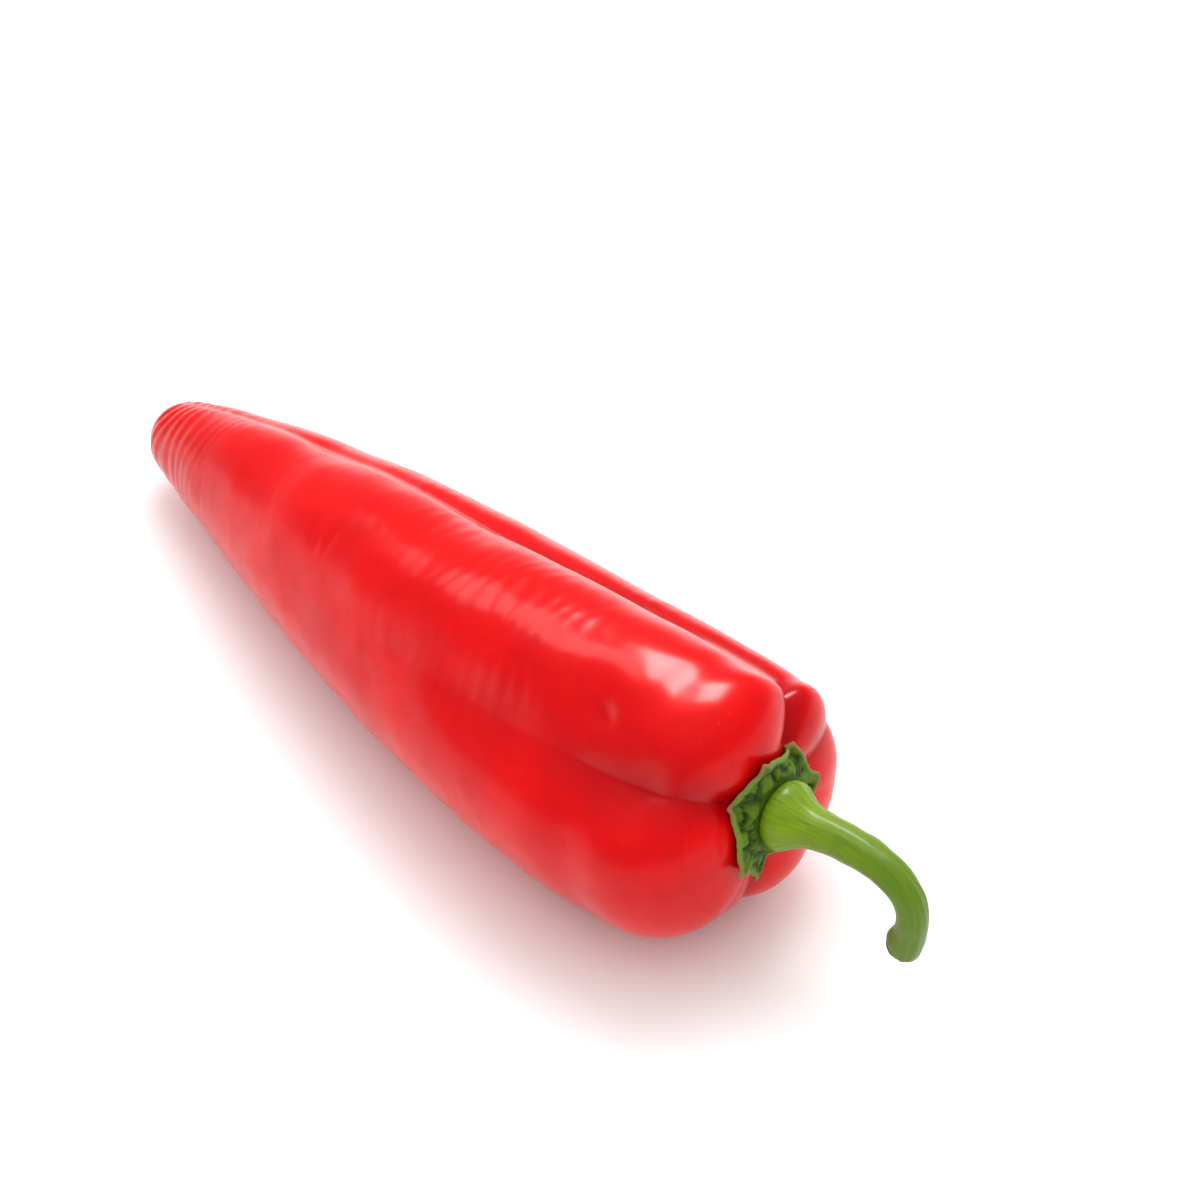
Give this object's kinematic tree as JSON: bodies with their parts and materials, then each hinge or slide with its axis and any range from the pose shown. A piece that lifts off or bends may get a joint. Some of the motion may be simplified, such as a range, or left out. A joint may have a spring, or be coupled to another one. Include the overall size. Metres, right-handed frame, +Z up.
{
  "type": "long sweet pepper",
  "caption": "Long, pointed red sweet pepper lying on its side, with a lobed stem end, a star-shaped green calyx and a short curved stem that is cut off.",
  "frame": {"origin": "on the floor, under the centre of the pepper's bounding box", "axes": "+X along the pepper towards its stem, +Z up, +Y across it, away from the broad lobe that the picture shows in front"},
  "size_m": [0.2378, 0.0672, 0.0665],
  "materials": {
    "red_skin": "waxy, glossy deep red skin",
    "calyx_green": "matte, wrinkled dark green leaf tissue",
    "stem_green": "satin, lengthwise-ribbed yellow-green stalk"
  },
  "bodies": {
    "root": {"fruit": "red_skin", "calyx": "calyx_green", "stem": "stem_green"}
  },
  "joints": []
}
